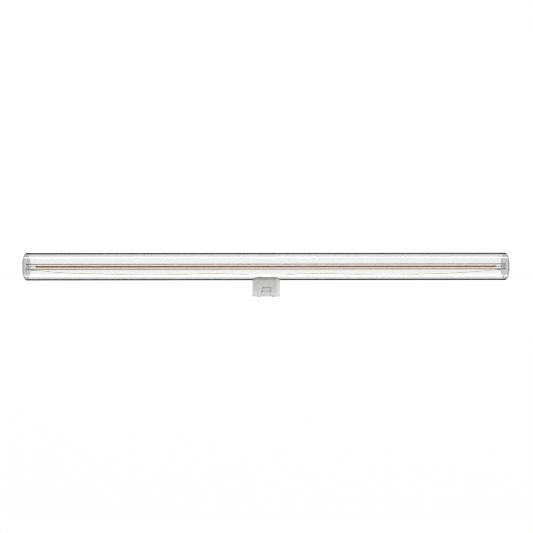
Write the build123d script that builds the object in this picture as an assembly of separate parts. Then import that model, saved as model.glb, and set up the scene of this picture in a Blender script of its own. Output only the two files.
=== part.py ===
from build123d import *
import math
import os

# A linear LED lamp: a clear tube with a filament on its axis and one push-in cap at its middle.
# Millimetres, +X along the tube, -Y to the front, +Z up.
# The origin is under the middle of the cap, on the plane that its foot rails stand on.

# Clear outer tube and the end caps that are fused to it
overall_length = 500.0
tube_diameter = 28.6
tube_wall = 1.2
end_disc_thickness = 1.2
end_edge_radius = 1.0
wire_hole_diameter = 9.0

# Carrier tube on the axis, seated in each end disc, with a window for the lead near each end
carrier_diameter = 6.2
carrier_wall = 0.75
carrier_end_clearance = 0.1
carrier_seat_depth = 0.6
carrier_seat_clearance = 0.1
window_diameter = 1.2
window_distance = 4.2

# Filament, its tabs and the bushes that centre them in the carrier
filament_height = 1.75
filament_thickness = 1.2
filament_edge_radius = 0.5
tab_length = 7.8
tab_width = 1.0
tab_thickness = 0.3
tab_overhang = 2.4
bush_length = 2.0
bush_inset = 1.0
bush_clearance = 0.05

# Lead wires from the tabs to the driver board
lead_diameter = 0.4
lead_standoff = 0.3
lead_pitch = 4.0
lead_straight = 1.5
lead_window_bend = 0.6
lead_rim_clearance = 0.8
sleeve_diameter = 0.8
sleeve_length = 3.6
sleeve_bore_clearance = 0.05
sleeve_gap = 0.2

# Droop of each lead: share of the way to the middle, share of the way down to the tube's wall
left_droop = [(0.10, 0.28), (0.28, 0.42), (0.45, 0.53), (0.62, 0.50), (0.77, 0.36), (0.93, 0.49)]
right_droop = [(0.08, 0.18), (0.19, 0.35), (0.45, 0.58), (0.62, 0.49), (0.78, 0.37), (0.93, 0.50)]
arc_share = 0.45

# Moulded cap and the pad between it and the tube
cap_width = 28.7
cap_drop = 16.5
cap_plug_depth = 14.0
cap_neck_depth = 15.2
cap_corner_radius = 4.2
cap_wall = 1.6
cap_roof = 2.6
pad_depth = 15.0
pad_thickness = 1.25
pad_corner_radius = 5.5
pad_bond = 0.05
collar_wall = 1.2
collar_clearance = 0.1
collar_proud = 0.3

# Contact pocket on each long face, heights above the cap's bottom face
pocket_width = 10.4
pocket_top = 10.1
pocket_depth = 1.0
pocket_wall = 1.2
pocket_ledge = 7.6
pocket_ridge = 4.4
pocket_ridge_depth = 0.3
pocket_ramp_depth = 0.8
pocket_bevel = 1.4
pocket_bevel_depth = 0.9
pocket_block_foot = 2.6

# Contact strips
contact_width = 7.0
contact_thickness = 0.25
contact_bend = 0.4
contact_seat = 0.02
contact_tail_drop = 0.8
contact_slot_clearance = 0.3

# Bottom cover with two foot rails
base_thickness = 1.5
base_clearance = 0.1
foot_height = 0.7
foot_width = 3.0
foot_spacing = 15.3
foot_inset = 0.3
foot_edge_radius = 0.5

# Driver board, its guides and its parts
board_thickness = 1.0
board_height = 11.0
board_clearance = 0.1
guide_thickness = 1.0
guide_reach = 1.4
chip_size = (4.9, 1.5, 3.9)
chip_leg_size = (0.4, 0.7, 0.9)
chip_leg_pitch = 1.27
rectifier_size = (4.8, 2.4, 4.0)
rectifier_edge = 0.4
chip_height = 3.6
capacitor_diameter = 4.0
capacitor_height = 7.0
capacitor_groove = 0.3
capacitor_groove_height = 1.4
capacitor_edge = 0.25
fuse_diameter = 2.2
fuse_length = 6.0
fuse_collar = 1.4
fuse_waist = 0.15
fuse_wire = 0.5
fuse_wire_reach = 1.2
fuse_bend = 0.6
sense_resistor_size = (1.6, 0.6, 3.2)
sense_resistor_pitch = 2.2
sense_resistor_count = 2
side_part_clearance = 0.2

# Levels and radii that follow from them
tube_radius = tube_diameter / 2
tube_bore_radius = tube_radius - tube_wall
cap_bottom = foot_height
tube_underside = cap_bottom + cap_drop
axis_height = tube_underside + tube_radius
end_face = overall_length / 2
disc_inside = end_face - end_disc_thickness
carrier_radius = carrier_diameter / 2
carrier_bore = carrier_radius - carrier_wall
carrier_end = disc_inside + carrier_seat_depth - carrier_end_clearance
window_centre = carrier_end - window_distance
lead_drop = carrier_radius + lead_standoff + lead_diameter / 2
tab_end = window_centre + tab_overhang
filament_end = tab_end - tab_length
sleeve_start = window_centre - lead_window_bend - sleeve_gap
pad_inside = tube_radius + pad_bond
pad_outside = pad_inside + pad_thickness
saddle_radius = pad_outside + pad_bond
cavity_roof = tube_underside - cap_roof
cavity_width = cap_width - 2 * cap_wall
cavity_depth = cap_plug_depth - 2 * cap_wall
cavity_corner = cap_corner_radius - cap_wall
base_top = cap_bottom + base_thickness
board_foot = base_top + board_clearance
board_top = board_foot + board_height
board_face = board_thickness / 2
board_middle = (board_foot + board_top) / 2
side_parts_end = cavity_width / 2 - guide_reach - side_part_clearance
collar_radius = wire_hole_diameter / 2 - collar_clearance
pocket_floor = cap_plug_depth / 2 - pocket_depth
contact_tail_height = cap_bottom + pocket_top - contact_tail_drop


def along_tube(radius, length, centre=0):
    """A round bar on the tube's axis, with its middle at a distance along X from the cap's."""
    return Pos(centre, 0, axis_height) * Rot(0, 90, 0) * Cylinder(radius, length)


def outer_tube():
    """The clear tube, open at both ends, with the leads' hole in its underside."""
    length = 2 * disc_inside
    tube = along_tube(tube_radius, length) - along_tube(tube_bore_radius, length)
    hole = Pos(0, 0, tube_underside) * Cylinder(wire_hole_diameter / 2, tube_radius)
    return tube - hole


def end_cap():
    """The right end cap: a disc on the tube's end, with a rounded edge and a seat for the carrier."""
    disc = along_tube(tube_radius, end_disc_thickness, (disc_inside + end_face) / 2)
    outer_edge = disc.edges().filter_by(GeomType.CIRCLE).sort_by(Axis.X)[-1]
    disc = fillet(outer_edge, end_edge_radius)
    seat = along_tube(carrier_radius + carrier_seat_clearance, 2 * carrier_seat_depth, disc_inside)
    return disc - seat


def carrier_tube():
    """The clear inner tube round the filament, with a window in its underside at each end."""
    length = 2 * carrier_end
    tube = along_tube(carrier_radius, length) - along_tube(carrier_bore, length)
    downwards = (Align.CENTER, Align.CENTER, Align.MAX)
    window = Cylinder(window_diameter / 2, 2 * carrier_radius, align=downwards)
    for side in (-1, 1):
        tube -= Pos(side * window_centre, 0, axis_height) * window
    return tube


def led_filament():
    """The phosphor-coated strip: a rounded bar along the axis."""
    section = RectangleRounded(filament_thickness, filament_height, filament_edge_radius)
    return Pos(0, 0, axis_height) * extrude(Plane.YZ * section, filament_end, both=True)


def filament_tab():
    """The right metal tab, from the filament's end over the carrier's window and into the bush."""
    return Pos(tab_end - tab_length / 2, 0, axis_height) * Box(tab_length, tab_width, tab_thickness)


def terminal_bush():
    """The right stopper in the carrier's bore, with a slot for the tab."""
    centre = carrier_end - bush_inset - bush_length / 2
    slot = Pos(centre, 0, axis_height) * Box(
        bush_length, tab_width + 2 * bush_clearance, tab_thickness + 2 * bush_clearance)
    return along_tube(carrier_bore - bush_clearance, bush_length, centre) - slot


def lead_points(droop):
    """The right lead's route in the XZ plane: tab, window, under the carrier, droop, hole, board."""
    run_start = sleeve_start - sleeve_length - lead_straight
    span = run_start - lead_pitch / 2
    room = tube_bore_radius - lead_drop
    rim = tube_bore_radius - collar_proud - lead_rim_clearance - lead_diameter
    route = [(window_centre, -tab_thickness / 2), (window_centre, -lead_drop), (run_start, -lead_drop)]
    route += [(run_start - along * span, -lead_drop - down * room) for along, down in droop]
    route += [(lead_pitch / 2, -rim), (lead_pitch / 2, board_top - axis_height)]
    return [Vector(x, 0, axis_height + z) for x, z in route]


def corner_radius(before, corner, after):
    """The largest arc that its two runs leave room for."""
    turn = math.radians((corner - before).get_angle(after - corner))
    shorter = min((corner - before).length, (after - corner).length)
    return arc_share * shorter / math.tan(turn / 2)


def lead_wire(droop):
    """The right lead: a round wire along straight runs and tangent arcs."""
    points = lead_points(droop)
    radii = [corner_radius(*points[i:i + 3]) for i in range(len(points) - 2)]
    radii[0] = lead_window_bend
    path = FilletPolyline(*points, radius=radii)
    print("lead radii", [round(radius, 1) for radius in radii], "length", round(path.length, 1))
    return sweep(Plane(path @ 0, z_dir=path % 0) * Circle(lead_diameter / 2), path)


def lead_sleeve():
    """The right lead's sleeve, just past the carrier's window."""
    bore = lead_diameter / 2 + sleeve_bore_clearance
    centre = sleeve_start - sleeve_length / 2
    sleeve = Cylinder(sleeve_diameter / 2, sleeve_length) - Cylinder(bore, sleeve_length)
    return Pos(centre, 0, axis_height - lead_drop) * Rot(0, 90, 0) * sleeve


def cap_section(depth, height, corner=cap_corner_radius):
    """A plan outline as wide as the cap, at one height: a rounded rectangle."""
    return Pos(0, 0, height) * RectangleRounded(cap_width, depth, corner)


def cap_outside():
    """The cap's outer form: a plug that widens a little to a saddle under the tube."""
    plug = loft([cap_section(cap_plug_depth, cap_bottom), cap_section(cap_neck_depth, axis_height)])
    return plug - along_tube(saddle_radius, 2 * cap_width)


def saddle_pad():
    """The soft pad between cap and tube: part of a thin tube, cut to a rounded rectangle in plan."""
    shell = along_tube(pad_outside, 2 * cap_width) - along_tube(pad_inside, 2 * cap_width)
    plan = extrude(cap_section(pad_depth, cap_bottom, pad_corner_radius), axis_height - cap_bottom)
    hole = Pos(0, 0, tube_underside) * Cylinder(wire_hole_diameter / 2, tube_radius)
    return shell & plan - hole


def pocket_cut():
    """The front pocket: a deep top, a floor that slopes out to a ridge, and a ramp below it."""
    outside = -cap_neck_depth
    ridge = pocket_ridge_depth - cap_plug_depth / 2
    ramp = pocket_ramp_depth - cap_plug_depth / 2
    outline = Polyline(
        (outside, cap_bottom + pocket_top),
        (-pocket_floor, cap_bottom + pocket_top),
        (-pocket_floor, cap_bottom + pocket_ledge),
        (ridge, cap_bottom + pocket_ridge),
        (ramp, cap_bottom),
        (outside, cap_bottom),
        close=True,
    )
    return extrude(Plane.YZ * make_face(outline), pocket_width / 2, both=True)


def pocket_mouth():
    """The bevel round the front pocket's sides and top: a tapered frame."""
    foot = cap_bottom + pocket_ridge
    face = cap_neck_depth / 2
    inner_height = pocket_top - pocket_ridge
    inner = Rectangle(pocket_width, inner_height, align=(Align.CENTER, Align.MIN))
    outer = Rectangle(
        pocket_width + 2 * pocket_bevel, inner_height + pocket_bevel, align=(Align.CENTER, Align.MIN))
    bevel_end = cap_plug_depth / 2 - pocket_bevel_depth
    back = Plane((0, -bevel_end, foot), x_dir=(1, 0, 0), z_dir=(0, -1, 0))
    front = Plane((0, -face, foot), x_dir=(1, 0, 0), z_dir=(0, -1, 0))
    return loft([back * inner, front * outer])


def pocket_block():
    """The wall behind the front pocket, inside the cap."""
    inside = pocket_floor - pocket_wall
    foot = cap_bottom + pocket_block_foot
    top = cap_bottom + pocket_top + pocket_wall
    outside = (cap_plug_depth - cap_wall) / 2
    return Pos(0, -(inside + outside) / 2, (foot + top) / 2) * Box(
        pocket_width + 2 * pocket_wall, outside - inside, top - foot)


def board_guides():
    """Two pairs of ribs on the cap's end walls, with the board's edges between them."""
    offset = board_face + board_clearance + guide_thickness / 2
    height = cavity_roof - base_top - board_clearance
    rib = Box(guide_reach, guide_thickness, height)
    places = [
        Pos(side * (cavity_width - guide_reach) / 2, face * offset, cavity_roof - height / 2)
        for side in (-1, 1) for face in (-1, 1)
    ]
    return [place * rib for place in places]


def contact_slot():
    """The slit in the front pocket's wall that the contact's tail passes through."""
    height = contact_thickness + 2 * contact_slot_clearance
    width = contact_width + 2 * contact_slot_clearance
    return Pos(0, -pocket_floor, contact_tail_height) * Box(width, 4 * pocket_wall, height)


def cap_shell():
    """The moulded cap: saddle, collar, hollow body, board guides and a pocket on each long face."""
    turned_round = Rot(0, 0, 180)
    cavity = Pos(0, 0, cap_bottom) * extrude(
        RectangleRounded(cavity_width, cavity_depth, cavity_corner), cavity_roof - cap_bottom)
    shell = cap_outside() - cavity
    shell += board_guides()
    for turn in (Rot(0, 0, 0), turned_round):
        shell += turn * pocket_block()
        shell -= turn * (pocket_cut() + pocket_mouth())
        shell -= turn * contact_slot()
    collar_top = axis_height - tube_bore_radius + collar_proud
    collar_height = collar_top - cavity_roof
    middle = Pos(0, 0, collar_top - collar_height / 2)
    shell += middle * Cylinder(collar_radius, collar_height)
    return shell - middle * Cylinder(collar_radius - collar_wall, collar_height)


def cap_base():
    """The bottom cover, inside the cap's rim, with two rounded foot rails that pass under the rim."""
    width = cavity_width - 2 * base_clearance
    depth = cavity_depth - 2 * base_clearance
    plate = Pos(0, 0, cap_bottom) * extrude(
        RectangleRounded(width, depth, cavity_corner - base_clearance), base_thickness)
    rail = Pos(0, 0, foot_height / 2) * Box(foot_width, cap_plug_depth - 2 * foot_inset, foot_height)
    rail = fillet(rail.edges().filter_by(Axis.Y).group_by(Axis.Z)[0], foot_edge_radius)
    return plate + [Pos(side * foot_spacing / 2, 0, 0) * rail for side in (-1, 1)]


def contact_strip():
    """The front contact: a strip on the pocket's sloped floor, with a tail through it to the board."""
    lift = contact_thickness / 2 + contact_seat
    ridge = cap_plug_depth / 2 - pocket_ridge_depth
    slope = math.atan2(ridge - pocket_floor, pocket_ledge - pocket_ridge)
    upright = pocket_floor + lift
    corner = pocket_ledge + lift * math.tan(slope / 2)
    toe_reach = (pocket_ledge - pocket_ridge) / math.cos(slope) - 2 * contact_thickness
    path = FilletPolyline(
        (0, -upright - toe_reach * math.sin(slope), cap_bottom + corner - toe_reach * math.cos(slope)),
        (0, -upright, cap_bottom + corner),
        (0, -upright, contact_tail_height),
        (0, -board_face, contact_tail_height),
        radius=contact_bend,
    )
    start = Plane(path @ 0, x_dir=(1, 0, 0), z_dir=path % 0)
    return sweep(start * Rectangle(contact_width, contact_thickness), path)


def driver_board():
    """The circuit board, upright between the guides."""
    length = cavity_width - 2 * board_clearance
    return Pos(0, 0, board_middle) * Box(length, board_thickness, board_height)


def driver_chip():
    """The control chip on the board's front, with a row of legs above and below its body."""
    width, depth, height = chip_size
    leg_width, leg_depth, leg_reach = chip_leg_size
    chip = Pos(0, -board_face - depth / 2, board_foot + chip_height) * Box(width, depth, height)
    leg = Box(leg_width, leg_depth, leg_reach)
    for row in (-1, 1):
        level = board_foot + chip_height + row * (height + leg_reach) / 2
        for index in range(4):
            chip += Pos((index - 1.5) * chip_leg_pitch, -board_face - leg_depth / 2, level) * leg
    return chip


def bridge_rectifier():
    """The rectifier block on the board's rear, with its outer edges bevelled."""
    width, depth, height = rectifier_size
    block = Pos(0, board_face + depth / 2, board_foot + chip_height) * Box(width, depth, height)
    return chamfer(block.faces().sort_by(Axis.Y)[-1].edges(), rectifier_edge)


def smoothing_capacitor():
    """The can on the board's front left, with the crimped groove round its foot."""
    radius = capacitor_diameter / 2
    outline = Polyline(
        (0, 0),
        (radius, 0),
        (radius, capacitor_groove_height - capacitor_groove),
        (radius - capacitor_groove, capacitor_groove_height),
        (radius, capacitor_groove_height + capacitor_groove),
        (radius, capacitor_height - capacitor_edge),
        (radius - capacitor_edge, capacitor_height),
        (0, capacitor_height),
        close=True,
    )
    can = revolve(Plane.XZ * make_face(outline), Axis.Z)
    return Pos(radius - side_parts_end, -board_face - radius, board_middle - capacitor_height / 2) * can


def fuse_resistor():
    """The fusible resistor on the board's front right, with collared ends and bent wires."""
    radius = fuse_diameter / 2
    half = fuse_length / 2
    reach = half + fuse_wire_reach
    centre = -board_face - radius
    outline = Polyline(
        (0, -half),
        (radius, -half),
        (radius, fuse_collar - half),
        (radius - fuse_waist, fuse_collar - half + fuse_waist),
        (radius - fuse_waist, half - fuse_collar - fuse_waist),
        (radius, half - fuse_collar),
        (radius, half),
        (0, half),
        close=True,
    )
    body = Pos(0, centre, 0) * revolve(Plane.XZ * make_face(outline), Axis.Z)
    path = FilletPolyline(
        (0, -board_face, -reach),
        (0, centre, -reach),
        (0, centre, reach),
        (0, -board_face, reach),
        radius=fuse_bend,
    )
    wire = sweep(Plane(path @ 0, z_dir=path % 0) * Circle(fuse_wire / 2), path)
    return Pos(side_parts_end - radius, 0, board_middle) * (body + wire)


def sense_resistors():
    """A row of chip resistors on the board's rear right."""
    width, depth, height = sense_resistor_size
    last = side_parts_end - width / 2
    block = Box(width, depth, height)
    return Compound([
        Pos(last - index * sense_resistor_pitch, board_face + depth / 2, board_middle) * block
        for index in range(sense_resistor_count)
    ])


def left_of(right_piece):
    """The mirror image of a right-hand piece."""
    return mirror(right_piece, Plane.YZ)


right_cap = end_cap()
right_tab = filament_tab()
right_bush = terminal_bush()
right_sleeve = lead_sleeve()
front_contact = contact_strip()

nodes = {
    "outer_tube": outer_tube(),
    "end_cap_left": left_of(right_cap),
    "end_cap_right": right_cap,
    "carrier_tube": carrier_tube(),
    "led_filament": led_filament(),
    "filament_tab_left": left_of(right_tab),
    "filament_tab_right": right_tab,
    "terminal_bush_left": left_of(right_bush),
    "terminal_bush_right": right_bush,
    "lead_wire_left": left_of(lead_wire(left_droop)),
    "lead_wire_right": lead_wire(right_droop),
    "lead_sleeve_left": left_of(right_sleeve),
    "lead_sleeve_right": right_sleeve,
    "saddle_pad": saddle_pad(),
    "cap_shell": cap_shell(),
    "cap_base": cap_base(),
    "contact_front": front_contact,
    "contact_rear": Rot(0, 0, 180) * front_contact,
    "driver_board": driver_board(),
    "driver_chip": driver_chip(),
    "bridge_rectifier": bridge_rectifier(),
    "smoothing_capacitor": smoothing_capacitor(),
    "fuse_resistor": fuse_resistor(),
    "sense_resistors": sense_resistors(),
}

os.makedirs("parts", exist_ok=True)
for name, solid in nodes.items():
    export_step(solid, f"parts/{name}.step")
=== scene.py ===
"""Looks of a clear linear LED lamp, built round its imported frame.

Metres throughout. The tube lies along X, the camera looks along +Y, and the cap's feet stand on z = 0.
"""
import math

import bmesh
import bpy
import numpy as np
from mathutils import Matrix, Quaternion, Vector


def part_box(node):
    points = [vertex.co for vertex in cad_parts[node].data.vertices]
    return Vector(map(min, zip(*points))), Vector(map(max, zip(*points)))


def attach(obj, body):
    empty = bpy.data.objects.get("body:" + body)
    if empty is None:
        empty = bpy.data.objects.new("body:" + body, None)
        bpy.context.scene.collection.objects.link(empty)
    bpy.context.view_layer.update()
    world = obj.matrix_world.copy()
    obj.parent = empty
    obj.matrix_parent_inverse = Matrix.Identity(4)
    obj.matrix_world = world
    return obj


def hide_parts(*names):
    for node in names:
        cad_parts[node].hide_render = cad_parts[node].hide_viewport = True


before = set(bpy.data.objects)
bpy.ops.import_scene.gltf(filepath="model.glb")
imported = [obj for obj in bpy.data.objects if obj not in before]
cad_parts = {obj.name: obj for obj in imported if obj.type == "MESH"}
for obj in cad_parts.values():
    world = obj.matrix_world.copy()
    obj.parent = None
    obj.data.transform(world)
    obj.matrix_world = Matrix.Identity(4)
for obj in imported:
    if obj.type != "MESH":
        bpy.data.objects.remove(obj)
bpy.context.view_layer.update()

MM = 0.001

# Photograph: a 533 pixel square, with the lamp's axis and middle at these pixels
FRAME_PIXELS = 533
AXIS_PIXEL = 266.57
MIDDLE_PIXEL = 266.25
PIXELS_PER_MM = 0.96
LENS_MM = 55.0
SENSOR_MM = 36.0
CAMERA_AZIMUTH_DEG = 0.4
CAMERA_ROLL_DEG = 0.055

# Places that come from the frame
tube_low, tube_high = (np.array(corner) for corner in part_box("outer_tube"))
carrier_low, carrier_high = (np.array(corner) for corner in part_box("carrier_tube"))
filament_low, filament_high = (np.array(corner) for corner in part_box("led_filament"))
AXIS_HEIGHT = (tube_low[2] + tube_high[2]) / 2
TUBE_RADIUS = (tube_high[2] - tube_low[2]) / 2
CARRIER_RADIUS = (carrier_high[2] - carrier_low[2]) / 2
FILAMENT_END = filament_high[0]
FILAMENT_HALF_DEPTH, FILAMENT_HALF_HEIGHT = (filament_high - filament_low)[1:] / 2

# Walls and holes of the clear pieces. The end gap keeps the tube's end faces off those of the end discs,
# and a reach is how far the wall that is fitted round a hole goes along the tube, each way
TUBE_WALL = 1.2 * MM
TUBE_END_GAP = 0.05 * MM
TUBE_HOLE_RADIUS = 4.5 * MM
TUBE_HOLE_REACH = 9.0 * MM
CARRIER_WALL = 0.75 * MM
CARRIER_WINDOW_PLACE = 245.1 * MM
CARRIER_WINDOW_RADIUS = 0.6 * MM
CARRIER_WINDOW_REACH = 1.6 * MM

# Fineness of the meshes; the power crowds the rings round a hole towards its edge
TUBE_SEGMENTS = 192
CARRIER_SEGMENTS = 96
HOLE_SEAM_STEPS = 12
HOLE_RINGS = 24
HOLE_CROWDING_POWER = 1.5
SHARP_EDGE_DEG = 35.0
WELD_REACH = 0.001 * MM

# Filament strip: a squared section, chips along it, blunt tips and a bead on top of each end
FILAMENT_SEGMENTS = 24
FILAMENT_SQUARING_POWER = 0.7
FILAMENT_ROWS_PER_CHIP = 6
CHIP_PITCH = 1.3 * MM
CHIP_SWELL = 0.035
TIP_LENGTH = 1.2 * MM
TIP_SHARE = 0.35
BEAD_PLACE = 1.3 * MM
BEAD_LENGTH = 0.9 * MM
BEAD_SWELL = 0.45

# Shared effects: the noise's detail, the part of its range that is used, and the grain's depth in grains
MOTTLE_DETAIL = 3.0
MOTTLE_RANGE = (0.35, 0.65)
GRAIN_DETAIL = 2.0
GRAIN_RANGE = (0.3, 0.7)
GRAIN_DEPTH = 0.1

# Stretch of an effect: even all round, or drawn out along the tube or down the cap
EVEN = (1, 1, 1)
ALONG_TUBE = (0.03, 1, 1)
DOWN_CAP = (1, 1, 0.06)

# Finishes of the clear pieces and of the phosphor
CLEAR_STREAK_SCALE = 900.0
CLEAR_SHADOW_TINT = 0.98
PHOSPHOR_LIGHT = (0.56, 0.21, 0.008)
PHOSPHOR_DARK = (0.48, 0.17, 0.006)
PHOSPHOR_SPECKLE_SCALE = 2500.0
PHOSPHOR_SHINE = 0.15
CHIP_COLOUR = (0.42, 0.13, 0.004)
CHIP_SHADE = 0.35

# Studio: levels of the room, and a floor whose white is mostly its own
WHITE = (1, 1, 1, 1)
WHITE_LEVEL = 1.0
ROOM_LEVEL = 0.45
MIRRORED_LEVEL = 0.10
END_WALL_LEVEL = 0.90
END_WALL_START = 0.50
END_WALL_FULL = 0.85
FLOOR_REACH = 4.0
FLOOR_GREY = (0.70, 0.70, 0.70, 1)
FLOOR_ROUGHNESS = 0.9
FLOOR_GLOW = 1.04
FLOOR_GLOW_SHARE = 0.92
HALF_A_BOUNCE = 0.5

# Light aims
TUBE_MIDDLE = (0, 0, AXIS_HEIGHT)
CAP_MIDDLE = (0, 0, 10 * MM)
CAP_NECK = (0, 0, 20 * MM)

# Render: bounces enough for rays through every wall, and a limit on rare bright reflections inside them
GLASS_BOUNCES = 24
INNER_REFLECTION_LIMIT = 1.5
PIXEL_FILTER = 1.0


# Mesh helpers

def grid_faces(rows, columns, wrap=False):
    """Quads of a rows by columns grid of vertices; wrap joins the last column to the first."""
    across = columns if wrap else columns - 1
    row, column = np.meshgrid(np.arange(rows - 1), np.arange(across), indexing="ij")
    beside = (column + 1) % columns
    corners = [row * columns + column, row * columns + beside,
               (row + 1) * columns + beside, (row + 1) * columns + column]
    return np.stack(corners, axis=-1).reshape(-1, 4)


def mark_sharp_edges(mesh):
    """Keeps the edges of a smooth mesh crisp where its faces turn by more than the sharp angle."""
    mesh.set_sharp_from_angle(angle=math.radians(SHARP_EDGE_DEG))


def make_piece(name, points, faces):
    """A mesh object from an array of points and an array of quads, smooth apart from its sharp edges."""
    mesh = bpy.data.meshes.new(name)
    mesh.from_pydata(points.reshape(-1, 3), [], faces)
    mesh.polygons.foreach_set("use_smooth", np.ones(len(mesh.polygons), dtype=bool))
    mark_sharp_edges(mesh)
    mesh.update()
    piece = bpy.data.objects.new(name, mesh)
    bpy.context.collection.objects.link(piece)
    return piece


def merged(patches):
    """Joins (points, faces) pairs into one pair, with the later faces renumbered."""
    points = [patch[0].reshape(-1, 3) for patch in patches]
    starts = np.cumsum([0] + [len(group) for group in points[:-1]])
    faces = [patch[1] + start for patch, start in zip(patches, starts)]
    return np.concatenate(points), np.concatenate(faces)


def opened(piece):
    """A piece's mesh, opened for editing."""
    shape = bmesh.new()
    shape.from_mesh(piece.data)
    return shape


def put_back(shape, piece):
    """Turns all faces of an edited mesh outwards and gives it back to its piece."""
    bmesh.ops.recalc_face_normals(shape, faces=shape.faces)
    shape.to_mesh(piece.data)
    shape.free()


def weld(piece):
    """Merges the points where the patches of a surface meet."""
    shape = opened(piece)
    bmesh.ops.remove_doubles(shape, verts=shape.verts, dist=WELD_REACH)
    put_back(shape, piece)
    mark_sharp_edges(piece.data)


def close_ends(piece):
    """Fills the open rings at a piece's two ends."""
    shape = opened(piece)
    bmesh.ops.holes_fill(shape, edges=[edge for edge in shape.edges if edge.is_boundary])
    put_back(shape, piece)


# Clear pieces

def round_the_axis(x, radius, angle):
    """Points at a radius from the lamp's axis, with angle 0 straight down.

    y = r sin(angle) and z = axis height - r cos(angle).
    """
    y = radius * np.sin(angle)
    z = AXIS_HEIGHT - radius * np.cos(angle)
    return np.stack(np.broadcast_arrays(x, y, z), axis=-1)


def turned_rows(rows, segments):
    """Turned surface about the lamp's axis: each (x, radius) row is carried round a full circle."""
    angle = np.linspace(0, 2 * np.pi, segments, endpoint=False)
    x, radius = np.array(rows).T[:, :, None]
    return round_the_axis(x, radius, angle), grid_faces(len(rows), segments, wrap=True)


def hole_patch(radius, segments, hole_radius, reach):
    """Tube wall round a hole in the underside, on the unrolled cylinder.

    Rings go from the hole's edge, where x = h cos t and y = h sin t, out to the border of the rectangle
    |x| <= reach, |angle| <= pi.
    """
    around = np.linspace(-np.pi, np.pi, segments + 1)
    along = np.linspace(reach, -reach, HOLE_SEAM_STEPS + 1)[1:-1]
    border_x = np.concatenate([np.full_like(around, reach), along,
                               np.full_like(around, -reach), along[::-1]])
    border_angle = np.concatenate([around, np.full_like(along, np.pi),
                                   around[::-1], np.full_like(along, -np.pi)])
    toward = np.arctan2(border_angle * radius, border_x)
    edge_x = hole_radius * np.cos(toward)
    edge_angle = np.arcsin(hole_radius * np.sin(toward) / radius)
    share = np.linspace(0, 1, HOLE_RINGS)[:, None] ** HOLE_CROWDING_POWER
    x = edge_x * (1 - share) + border_x * share
    angle = edge_angle * (1 - share) + border_angle * share
    return round_the_axis(x, radius, angle), grid_faces(HOLE_RINGS, len(border_x), wrap=True)


def drilled_tube(name, outer, wall, end, holes, hole_radius, reach, segments):
    """A tube along X with holes in its underside.

    Plain stretches and hole patches make both walls. A ring at each end and the holes' own walls join them.
    """
    inner = outer - wall
    stops = [-end] + [centre + side * reach for centre in holes for side in (-1, 1)] + [end]
    patches = [turned_rows([(x, outer), (x, inner)], segments) for x in (-end, end)]
    for radius in (outer, inner):
        for start, stop in zip(stops[::2], stops[1::2]):
            patches.append(turned_rows([(start, radius), (stop, radius)], segments))
    outer_hole, faces = hole_patch(outer, segments, hole_radius, reach)
    inner_hole, faces = hole_patch(inner, segments, hole_radius, reach)
    edge = np.stack([outer_hole[0], inner_hole[0]])
    for centre in holes:
        shift = np.array([centre, 0, 0])
        patches += [(outer_hole + shift, faces), (inner_hole + shift, faces)]
        patches.append((edge + shift, grid_faces(2, edge.shape[1], wrap=True)))
    piece = make_piece(name, *merged(patches))
    weld(piece)
    return piece


def filament_strip():
    """The coated strip, a squared section carried along X.

    With c and s the cosine and sine of the turn and k the squaring power, the section is
    y = a sign(c) |c|^k and z = b sign(s) |s|^k. It swells a little over each chip by a cosine, tapers to
    a blunt tip by a quarter circle, and has a bead exp(-u^2) on top near each end.
    """
    chips = int(round(2 * FILAMENT_END / CHIP_PITCH))
    x = np.linspace(-FILAMENT_END, FILAMENT_END, chips * FILAMENT_ROWS_PER_CHIP + 1)[:, None]
    from_end = FILAMENT_END - np.abs(x)
    swell = 1 - CHIP_SWELL * (1 - np.cos(2 * np.pi * (x + FILAMENT_END) / CHIP_PITCH)) / 2
    tip = np.clip(from_end / TIP_LENGTH, 0, 1)
    taper = TIP_SHARE + (1 - TIP_SHARE) * np.sqrt(1 - (1 - tip) ** 2)
    bead = BEAD_SWELL * np.exp(-((from_end - BEAD_PLACE) / BEAD_LENGTH) ** 2)
    turn = np.linspace(0, 2 * np.pi, FILAMENT_SEGMENTS, endpoint=False)[None, :]
    section_y = np.sign(np.cos(turn)) * np.abs(np.cos(turn)) ** FILAMENT_SQUARING_POWER
    section_z = np.sign(np.sin(turn)) * np.abs(np.sin(turn)) ** FILAMENT_SQUARING_POWER
    y = FILAMENT_HALF_DEPTH * section_y * swell * taper
    z = AXIS_HEIGHT + FILAMENT_HALF_HEIGHT * section_z * swell * taper * (1 + bead * (section_z > 0))
    points = np.stack(np.broadcast_arrays(x, y, z), axis=-1)
    piece = make_piece("filament_strip", points, grid_faces(len(x), FILAMENT_SEGMENTS, wrap=True))
    close_ends(piece)
    return piece


# Node helpers

def feed(tree, socket, term):
    """Links a socket to another node's output, or sets it to a plain number or colour."""
    if isinstance(term, bpy.types.NodeSocket):
        tree.links.new(term, socket)
    else:
        socket.default_value = term


def calculated(tree, operation, *terms, clamp=False):
    """The result of a Math node on one or two terms."""
    node = tree.nodes.new("ShaderNodeMath")
    node.operation = operation
    node.use_clamp = clamp
    for socket, term in zip(node.inputs, terms):
        feed(tree, socket, term)
    return node.outputs["Value"]


def mapped(tree, value, start, full, low=0.0, high=1.0):
    """A value that goes from low to high as another goes from start to full, and stays between them."""
    node = tree.nodes.new("ShaderNodeMapRange")
    for label, term in (("Value", value), ("From Min", start), ("From Max", full),
                        ("To Min", low), ("To Max", high)):
        feed(tree, node.inputs[label], term)
    return node.outputs["Result"]


def blended(tree, share, first, second):
    """A colour that goes from the first to the second as share goes from 0 to 1."""
    node = tree.nodes.new("ShaderNodeMix")
    node.data_type = "RGBA"
    for label, term in (("Factor", share), ("A", first), ("B", second)):
        feed(tree, node.inputs[label], term)
    return node.outputs["Result"]


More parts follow.
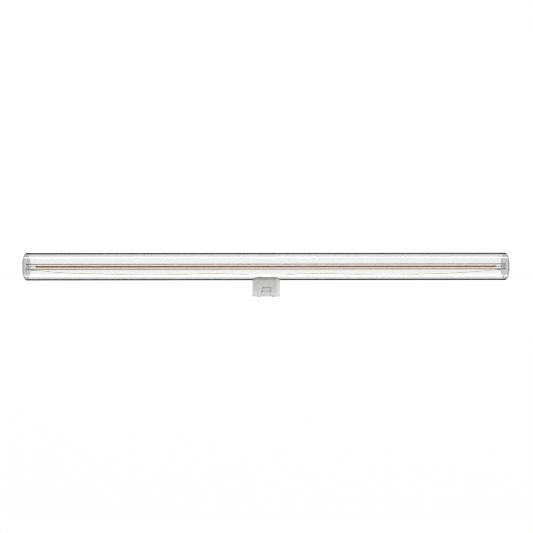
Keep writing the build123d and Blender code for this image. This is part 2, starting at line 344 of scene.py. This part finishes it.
def mixed(tree, share, first, second):
    """A shader that goes from the first to the second as share goes from 0 to 1."""
    node = tree.nodes.new("ShaderNodeMixShader")
    for socket, term in zip(node.inputs, (share, first, second)):
        tree.links.new(term, socket)
    return node.outputs["Shader"]


def split_x(tree, coordinates):
    """The X part of a kind of texture coordinates."""
    place = tree.nodes.new("ShaderNodeTexCoord")
    split = tree.nodes.new("ShaderNodeSeparateXYZ")
    tree.links.new(place.outputs[coordinates], split.inputs["Vector"])
    return split.outputs["X"]


# Shared effects

def new_group(name, inputs, outputs):
    """An empty shader group with named sockets, its input node and its output node."""
    group = bpy.data.node_groups.new(name, "ShaderNodeTree")
    for label, kind, value in inputs:
        socket = group.interface.new_socket(label, in_out="INPUT", socket_type=kind)
        socket.default_value = value
    for label, kind in outputs:
        group.interface.new_socket(label, in_out="OUTPUT", socket_type=kind)
    return group, group.nodes.new("NodeGroupInput"), group.nodes.new("NodeGroupOutput")


def stretched_noise(group, entry, detail):
    """Noise on Object coordinates times the group's Stretch, at the group's Scale."""
    place = group.nodes.new("ShaderNodeTexCoord")
    stretched = group.nodes.new("ShaderNodeVectorMath")
    stretched.operation = "MULTIPLY"
    noise = group.nodes.new("ShaderNodeTexNoise")
    noise.inputs["Detail"].default_value = detail
    group.links.new(place.outputs["Object"], stretched.inputs[0])
    group.links.new(entry.outputs["Stretch"], stretched.inputs[1])
    group.links.new(stretched.outputs["Vector"], noise.inputs["Vector"])
    group.links.new(entry.outputs["Scale"], noise.inputs["Scale"])
    return noise.outputs["Fac"]


def mottle_group():
    """Two colours in soft patches, or in streaks where Stretch differs by axis."""
    group, entry, leave = new_group(
        "mottle",
        [("Light", "NodeSocketColor", WHITE), ("Dark", "NodeSocketColor", (0, 0, 0, 1)),
         ("Scale", "NodeSocketFloat", 100.0), ("Stretch", "NodeSocketVector", EVEN)],
        [("Color", "NodeSocketColor")])
    share = mapped(group, stretched_noise(group, entry, MOTTLE_DETAIL), *MOTTLE_RANGE)
    colour = blended(group, share, entry.outputs["Dark"], entry.outputs["Light"])
    group.links.new(colour, leave.inputs["Color"])
    return group


def grain_group():
    """A fine grain: a roughness between Smooth and Rough, and the same noise as a height."""
    group, entry, leave = new_group(
        "grain",
        [("Smooth", "NodeSocketFloat", 0.3), ("Rough", "NodeSocketFloat", 0.5),
         ("Scale", "NodeSocketFloat", 1000.0), ("Stretch", "NodeSocketVector", EVEN)],
        [("Roughness", "NodeSocketFloat"), ("Height", "NodeSocketFloat")])
    noise = stretched_noise(group, entry, GRAIN_DETAIL)
    roughness = mapped(group, noise, *GRAIN_RANGE, entry.outputs["Smooth"], entry.outputs["Rough"])
    group.links.new(roughness, leave.inputs["Roughness"])
    group.links.new(noise, leave.inputs["Height"])
    return group


mottle = mottle_group()
grain = grain_group()


# Materials

def new_material(name):
    """A material with a Principled shader; returns the material, its node tree and that shader."""
    material = bpy.data.materials.new(name)
    material.use_nodes = True
    tree = material.node_tree
    return material, tree, tree.nodes["Principled BSDF"]


def place_group(tree, group, **values):
    """A group node in a material, with its inputs set by name."""
    node = tree.nodes.new("ShaderNodeGroup")
    node.node_tree = group
    for label, value in values.items():
        node.inputs[label].default_value = value
    return node


def patches_of(tree, light, dark, scale, stretch=EVEN):
    """Two colours in soft patches or streaks, from the mottle group."""
    patches = place_group(tree, mottle, Light=(*light, 1), Dark=(*dark, 1), Scale=scale, Stretch=stretch)
    return patches.outputs["Color"]


def add_grain(tree, shader, smooth, rough, scale, relief, stretch=EVEN):
    """Gives a shader a fine grain in its roughness and, by relief, in its surface."""
    fine = place_group(tree, grain, Smooth=smooth, Rough=rough, Scale=scale, Stretch=stretch)
    tree.links.new(fine.outputs["Roughness"], shader.inputs["Roughness"])
    bump = tree.nodes.new("ShaderNodeBump")
    bump.inputs["Strength"].default_value = relief
    bump.inputs["Distance"].default_value = GRAIN_DEPTH / scale
    tree.links.new(fine.outputs["Height"], bump.inputs["Height"])
    tree.links.new(bump.outputs["Normal"], shader.inputs["Normal"])


def see_through(tree, tint):
    """A shader that lets rays pass straight on, dimmed to a grey tint."""
    node = tree.nodes.new("ShaderNodeBsdfTransparent")
    node.inputs["Color"].default_value = (tint, tint, tint, 1)
    return node.outputs["BSDF"]


def clear_material(name, ior, light, dark, outline_start, outline_full, painted_outline_tint):
    """A clear drawn or moulded solid, with faint streaks in its tint.

    On back faces, where Fresnel's share for a ray inside the wall goes to one, it turns into a dark
    see-through tint, painted shade that draws the outline. Shadow rays pass, so that what lies inside is
    lit.
    """
    material, tree, shader = new_material(name)
    streaks = patches_of(tree, light, dark, CLEAR_STREAK_SCALE, ALONG_TUBE)
    tree.links.new(streaks, shader.inputs["Base Color"])
    shader.inputs["Roughness"].default_value = 0.0
    shader.inputs["IOR"].default_value = ior
    shader.inputs["Transmission Weight"].default_value = 1.0
    fresnel = tree.nodes.new("ShaderNodeFresnel")
    fresnel.inputs["IOR"].default_value = ior
    surface = tree.nodes.new("ShaderNodeNewGeometry")
    # Painted shade: on back faces, by Fresnel's share, a dark see-through tint darkens the outline
    outline_ramp = mapped(tree, fresnel.outputs["Fac"], outline_start, outline_full)
    painted_outline_share = calculated(tree, "MULTIPLY", outline_ramp, surface.outputs["Backfacing"])
    body = mixed(tree, painted_outline_share, shader.outputs["BSDF"], see_through(tree, painted_outline_tint))
    light_path = tree.nodes.new("ShaderNodeLightPath")
    whole = mixed(tree, light_path.outputs["Is Shadow Ray"], body, see_through(tree, CLEAR_SHADOW_TINT))
    tree.links.new(whole, tree.nodes["Material Output"].inputs["Surface"])
    return material


def solid_material(name, light, dark, patch_scale, smooth, rough, grain_scale, relief,
                   metallic=0.0, shine=0.5, stretch=EVEN):
    """An opaque finish: patches of two colours at one scale and a grain at a finer one."""
    material, tree, shader = new_material(name)
    tree.links.new(patches_of(tree, light, dark, patch_scale, stretch), shader.inputs["Base Color"])
    add_grain(tree, shader, smooth, rough, grain_scale, relief, stretch)
    shader.inputs["Metallic"].default_value = metallic
    shader.inputs["Specular IOR Level"].default_value = shine
    return material


def phosphor_material():
    """Amber phosphor in silicone: speckled, with one deeper band to each chip, by cos(2 pi x / pitch)."""
    material, tree, shader = new_material("phosphor_finish")
    speckle = patches_of(tree, PHOSPHOR_LIGHT, PHOSPHOR_DARK, PHOSPHOR_SPECKLE_SCALE)
    turn = calculated(tree, "MULTIPLY", split_x(tree, "Object"), 2 * math.pi / CHIP_PITCH)
    band = mapped(tree, calculated(tree, "COSINE", turn), -1.0, 1.0, high=CHIP_SHADE)
    tree.links.new(blended(tree, band, speckle, (*CHIP_COLOUR, 1)), shader.inputs["Base Color"])
    add_grain(tree, shader, smooth=0.5, rough=0.7, scale=6000.0, relief=0.3)
    shader.inputs["Specular IOR Level"].default_value = PHOSPHOR_SHINE
    return material


# Each clear piece's outline tint below is painted shade along its outline
tube_glass = clear_material(
    "tube_glass", ior=1.5, light=(1.0, 1.0, 1.0), dark=(0.985, 0.985, 0.985),
    outline_start=0.35, outline_full=0.9, painted_outline_tint=0.09)
carrier_finish = clear_material(
    "carrier_finish", ior=1.2, light=(0.95, 0.95, 0.95), dark=(0.93, 0.93, 0.93),
    outline_start=0.02, outline_full=0.15, painted_outline_tint=0.28)
end_plastic = clear_material(
    "end_plastic", ior=1.49, light=(0.91, 0.92, 0.92), dark=(0.89, 0.90, 0.90),
    outline_start=0.3, outline_full=0.9, painted_outline_tint=0.60)
clear_silicone = clear_material(
    "clear_silicone", ior=1.15, light=(0.96, 0.96, 0.96), dark=(0.92, 0.92, 0.92),
    outline_start=0.3, outline_full=0.9, painted_outline_tint=0.9)
moulding_finish = solid_material(
    "moulding_finish", light=(0.57, 0.57, 0.565), dark=(0.54, 0.54, 0.535), patch_scale=300.0,
    smooth=0.42, rough=0.56, grain_scale=3000.0, relief=0.10)
# The saddle pad's grey is partly its rubber's own and partly painted shade, darker than the moulding, where
# the cap meets the tube
rubber_grey_and_painted_shade = solid_material(
    "rubber_grey_and_painted_shade", light=(0.44, 0.44, 0.43), dark=(0.39, 0.39, 0.38), patch_scale=700.0,
    smooth=0.55, rough=0.75, grain_scale=5000.0, relief=0.2, shine=0.3)
phosphor_finish = phosphor_material()
wire_finish = solid_material(
    "wire_finish", light=(0.78, 0.50, 0.08), dark=(0.66, 0.40, 0.06), patch_scale=400.0,
    smooth=0.30, rough=0.45, grain_scale=4000.0, relief=0.05, metallic=0.1)
sleeve_finish = solid_material(
    "sleeve_finish", light=(0.36, 0.26, 0.11), dark=(0.29, 0.19, 0.07), patch_scale=1500.0,
    smooth=0.45, rough=0.6, grain_scale=6000.0, relief=0.15)
strip_nickel = solid_material(
    "strip_nickel", light=(0.66, 0.65, 0.63), dark=(0.56, 0.55, 0.53), patch_scale=2500.0,
    smooth=0.25, rough=0.4, grain_scale=6000.0, relief=0.05, metallic=1.0, stretch=ALONG_TUBE)
contact_nickel = solid_material(
    "contact_nickel", light=(0.65, 0.645, 0.63), dark=(0.59, 0.585, 0.57), patch_scale=2500.0,
    smooth=0.4, rough=0.55, grain_scale=6000.0, relief=0.05, metallic=0.1, stretch=DOWN_CAP)
can_aluminium = solid_material(
    "can_aluminium", light=(0.72, 0.73, 0.74), dark=(0.64, 0.65, 0.66), patch_scale=2500.0,
    smooth=0.3, rough=0.45, grain_scale=6000.0, relief=0.05, metallic=1.0, stretch=DOWN_CAP)
board_mask = solid_material(
    "board_mask", light=(0.07, 0.24, 0.10), dark=(0.04, 0.17, 0.07), patch_scale=500.0,
    smooth=0.3, rough=0.45, grain_scale=3000.0, relief=0.08)
chip_epoxy = solid_material(
    "chip_epoxy", light=(0.030, 0.030, 0.032), dark=(0.018, 0.018, 0.020), patch_scale=900.0,
    smooth=0.5, rough=0.65, grain_scale=6000.0, relief=0.15)
fuse_lacquer = solid_material(
    "fuse_lacquer", light=(0.20, 0.30, 0.33), dark=(0.14, 0.23, 0.26), patch_scale=900.0,
    smooth=0.35, rough=0.5, grain_scale=5000.0, relief=0.08)


# New pieces, each in the place of its node

tube = drilled_tube("clear_tube", TUBE_RADIUS, TUBE_WALL, tube_high[0] - TUBE_END_GAP, [0.0],
                    TUBE_HOLE_RADIUS, TUBE_HOLE_REACH, TUBE_SEGMENTS)
tube.data.materials.append(tube_glass)
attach(tube, "root")
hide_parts("outer_tube")

inner_tube = drilled_tube("carrier_glass", CARRIER_RADIUS, CARRIER_WALL, carrier_high[0],
                          [-CARRIER_WINDOW_PLACE, CARRIER_WINDOW_PLACE], CARRIER_WINDOW_RADIUS,
                          CARRIER_WINDOW_REACH, CARRIER_SEGMENTS)
inner_tube.data.materials.append(carrier_finish)
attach(inner_tube, "root")
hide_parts("carrier_tube")

strip = filament_strip()
strip.data.materials.append(phosphor_finish)
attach(strip, "root")
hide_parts("led_filament")


# Finishes of the other nodes

def dress(node, material):
    """Gives a CAD node's own object a material."""
    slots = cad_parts[node].data.materials
    slots.clear()
    slots.append(material)


for side in ("left", "right"):
    dress(f"end_cap_{side}", end_plastic)
    dress(f"lead_wire_{side}", wire_finish)
    dress(f"lead_sleeve_{side}", sleeve_finish)
    dress(f"filament_tab_{side}", strip_nickel)
    dress(f"terminal_bush_{side}", clear_silicone)
for node in ("cap_shell", "cap_base"):
    dress(node, moulding_finish)
for node in ("contact_front", "contact_rear"):
    dress(node, contact_nickel)
for node in ("driver_chip", "bridge_rectifier", "sense_resistors"):
    dress(node, chip_epoxy)
dress("saddle_pad", rubber_grey_and_painted_shade)
dress("driver_board", board_mask)
dress("smoothing_capacitor", can_aluminium)
dress("fuse_resistor", fuse_lacquer)


# Stage, light and camera

def ray_history(tree):
    """Two masks by what a ray has met.

    The first is 1 for what the camera sees straight or through glass, and 0 after a reflection or a matt
    surface. The second is 1 after a reflection.
    """
    light_path = tree.nodes.new("ShaderNodeLightPath").outputs
    straight = calculated(tree, "MAXIMUM", light_path["Is Camera Ray"], light_path["Is Transmission Ray"])
    bounces = calculated(tree, "ADD", light_path["Glossy Depth"], light_path["Diffuse Depth"])
    seen = calculated(tree, "SUBTRACT", straight, bounces, clamp=True)
    reflected = calculated(tree, "GREATER_THAN", light_path["Glossy Depth"], HALF_A_BOUNCE)
    return seen, reflected


def glow_of(tree, strength):
    """A white glow."""
    node = tree.nodes.new("ShaderNodeEmission")
    node.inputs["Strength"].default_value = strength
    return node.outputs["Emission"]


def pale_floor():
    """A floor that is mostly its own white to the camera and to glass, and dim in reflections.

    The rest of its white is lit, so that the object's shadow is kept.
    """
    corners = [(-1, -1, 0), (1, -1, 0), (1, 1, 0), (-1, 1, 0)]
    floor = make_piece("floor", FLOOR_REACH * np.array(corners), np.array([[0, 1, 2, 3]]))
    material, tree, shader = new_material("floor_white")
    shader.inputs["Base Color"].default_value = FLOOR_GREY
    shader.inputs["Roughness"].default_value = FLOOR_ROUGHNESS
    shader.inputs["Specular IOR Level"].default_value = 0.0
    seen, reflected = ray_history(tree)
    own_share = calculated(tree, "MULTIPLY", seen, FLOOR_GLOW_SHARE)
    plain = mixed(tree, own_share, shader.outputs["BSDF"], glow_of(tree, FLOOR_GLOW))
    surface = mixed(tree, reflected, plain, glow_of(tree, MIRRORED_LEVEL))
    tree.links.new(surface, tree.nodes["Material Output"].inputs["Surface"])
    floor.data.materials.append(material)


def studio_world():
    """White behind the lamp and through glass, a grey room for diffuse light and a dim one for reflections.

    The dim room has bright end walls, by how far a reflected ray points along X.
    """
    world = bpy.data.worlds.new("studio")
    bpy.context.scene.world = world
    world.use_nodes = True
    tree = world.node_tree
    endwards = calculated(tree, "ABSOLUTE", split_x(tree, "Generated"))
    walls = mapped(tree, endwards, END_WALL_START, END_WALL_FULL, MIRRORED_LEVEL, END_WALL_LEVEL)
    room = tree.nodes["Background"]
    mirrored = tree.nodes.new("ShaderNodeBackground")
    white = tree.nodes.new("ShaderNodeBackground")
    for background, level in ((room, ROOM_LEVEL), (mirrored, walls), (white, WHITE_LEVEL)):
        background.inputs["Color"].default_value = WHITE
        feed(tree, background.inputs["Strength"], level)
    seen, reflected = ray_history(tree)
    unseen = mixed(tree, reflected, room.outputs["Background"], mirrored.outputs["Background"])
    whole = mixed(tree, seen, unseen, white.outputs["Background"])
    tree.links.new(whole, tree.nodes["World Output"].inputs["Surface"])


def pointed(direction):
    """The turn of a camera or light that looks in a direction."""
    return direction.to_track_quat("-Z", "Y")


def soft_light(name, place, size, radiance, aim=None, mirrored=True, lighting=True, beam_deg=180.0):
    """A rectangular soft light, pointed at a place, or straight up where none is given.

    Gloss and glass show it where it is mirrored, and matt surfaces take its light where it is lighting.
    Its power is that of a light of this radiance in all directions, and a narrower beam gathers it.
    """
    data = bpy.data.lights.new(name, "AREA")
    data.shape = "RECTANGLE"
    data.size, data.size_y = size
    data.energy = radiance * math.pi * size[0] * size[1]
    data.spread = math.radians(beam_deg)
    light = bpy.data.objects.new(name, data)
    bpy.context.collection.objects.link(light)
    light.location = place
    light.rotation_mode = "QUATERNION"
    light.rotation_quaternion = pointed(Vector(aim) - Vector(place) if aim else Vector((0, 0, 1)))
    light.visible_camera = False
    light.visible_diffuse = lighting
    light.visible_glossy = mirrored
    light.visible_transmission = mirrored


def camera_like_the_photo():
    """A level camera that puts the lamp's axis and middle on their pixels."""
    data = bpy.data.cameras.new("camera")
    data.lens = LENS_MM
    data.sensor_width = SENSOR_MM
    camera = bpy.data.objects.new("camera", data)
    bpy.context.collection.objects.link(camera)
    bpy.context.scene.camera = camera
    distance = FRAME_PIXELS / PIXELS_PER_MM * MM * LENS_MM / SENSOR_MM
    across = (FRAME_PIXELS / 2 - MIDDLE_PIXEL) / PIXELS_PER_MM * MM
    up = (AXIS_PIXEL - FRAME_PIXELS / 2) / PIXELS_PER_MM * MM
    azimuth = math.radians(CAMERA_AZIMUTH_DEG)
    right = Vector((math.cos(azimuth), -math.sin(azimuth), 0))
    ahead = Vector((math.sin(azimuth), math.cos(azimuth), 0))
    camera.location = Vector((0, 0, AXIS_HEIGHT + up)) + right * across - ahead * distance
    camera.rotation_mode = "QUATERNION"
    camera.rotation_quaternion = Quaternion(ahead, math.radians(CAMERA_ROLL_DEG)) @ pointed(ahead)


pale_floor()
studio_world()

# The tube mirrors the first three as its long highlights; the others light the cap and the inner pieces
soft_light("overhead", place=(0, -0.10, 0.62), size=(1.3, 0.14), radiance=4.2, aim=TUBE_MIDDLE)
soft_light("gleam", place=(0, -0.092, 0.61), size=(1.3, 0.09), radiance=3.0, aim=TUBE_MIDDLE,
           lighting=False)
soft_light("under", place=(0, -0.0123, 0.0006), size=(1.02, 0.0066), radiance=1.4,
           lighting=False, beam_deg=70.0)
soft_light("key", place=(0.96, -0.22, 0.15), size=(0.5, 0.5), radiance=10.5, aim=CAP_MIDDLE,
           mirrored=False)
soft_light("fill", place=(-0.98, -0.12, 0.15), size=(0.5, 0.5), radiance=6.5, aim=CAP_MIDDLE,
           mirrored=False)
soft_light("bounce", place=(0, -0.016, 0.0001), size=(0.10, 0.018), radiance=0.95, mirrored=False)
soft_light("back", place=(0, 0.95, 0.3), size=(0.9, 0.5), radiance=2.4, aim=CAP_NECK, mirrored=False)

camera_like_the_photo()

scene = bpy.context.scene
scene.view_settings.view_transform = "Standard"
scene.cycles.filter_width = PIXEL_FILTER
scene.cycles.sample_clamp_indirect = INNER_REFLECTION_LIMIT
scene.cycles.max_bounces = GLASS_BOUNCES
scene.cycles.transmission_bounces = GLASS_BOUNCES
scene.cycles.transparent_max_bounces = GLASS_BOUNCES
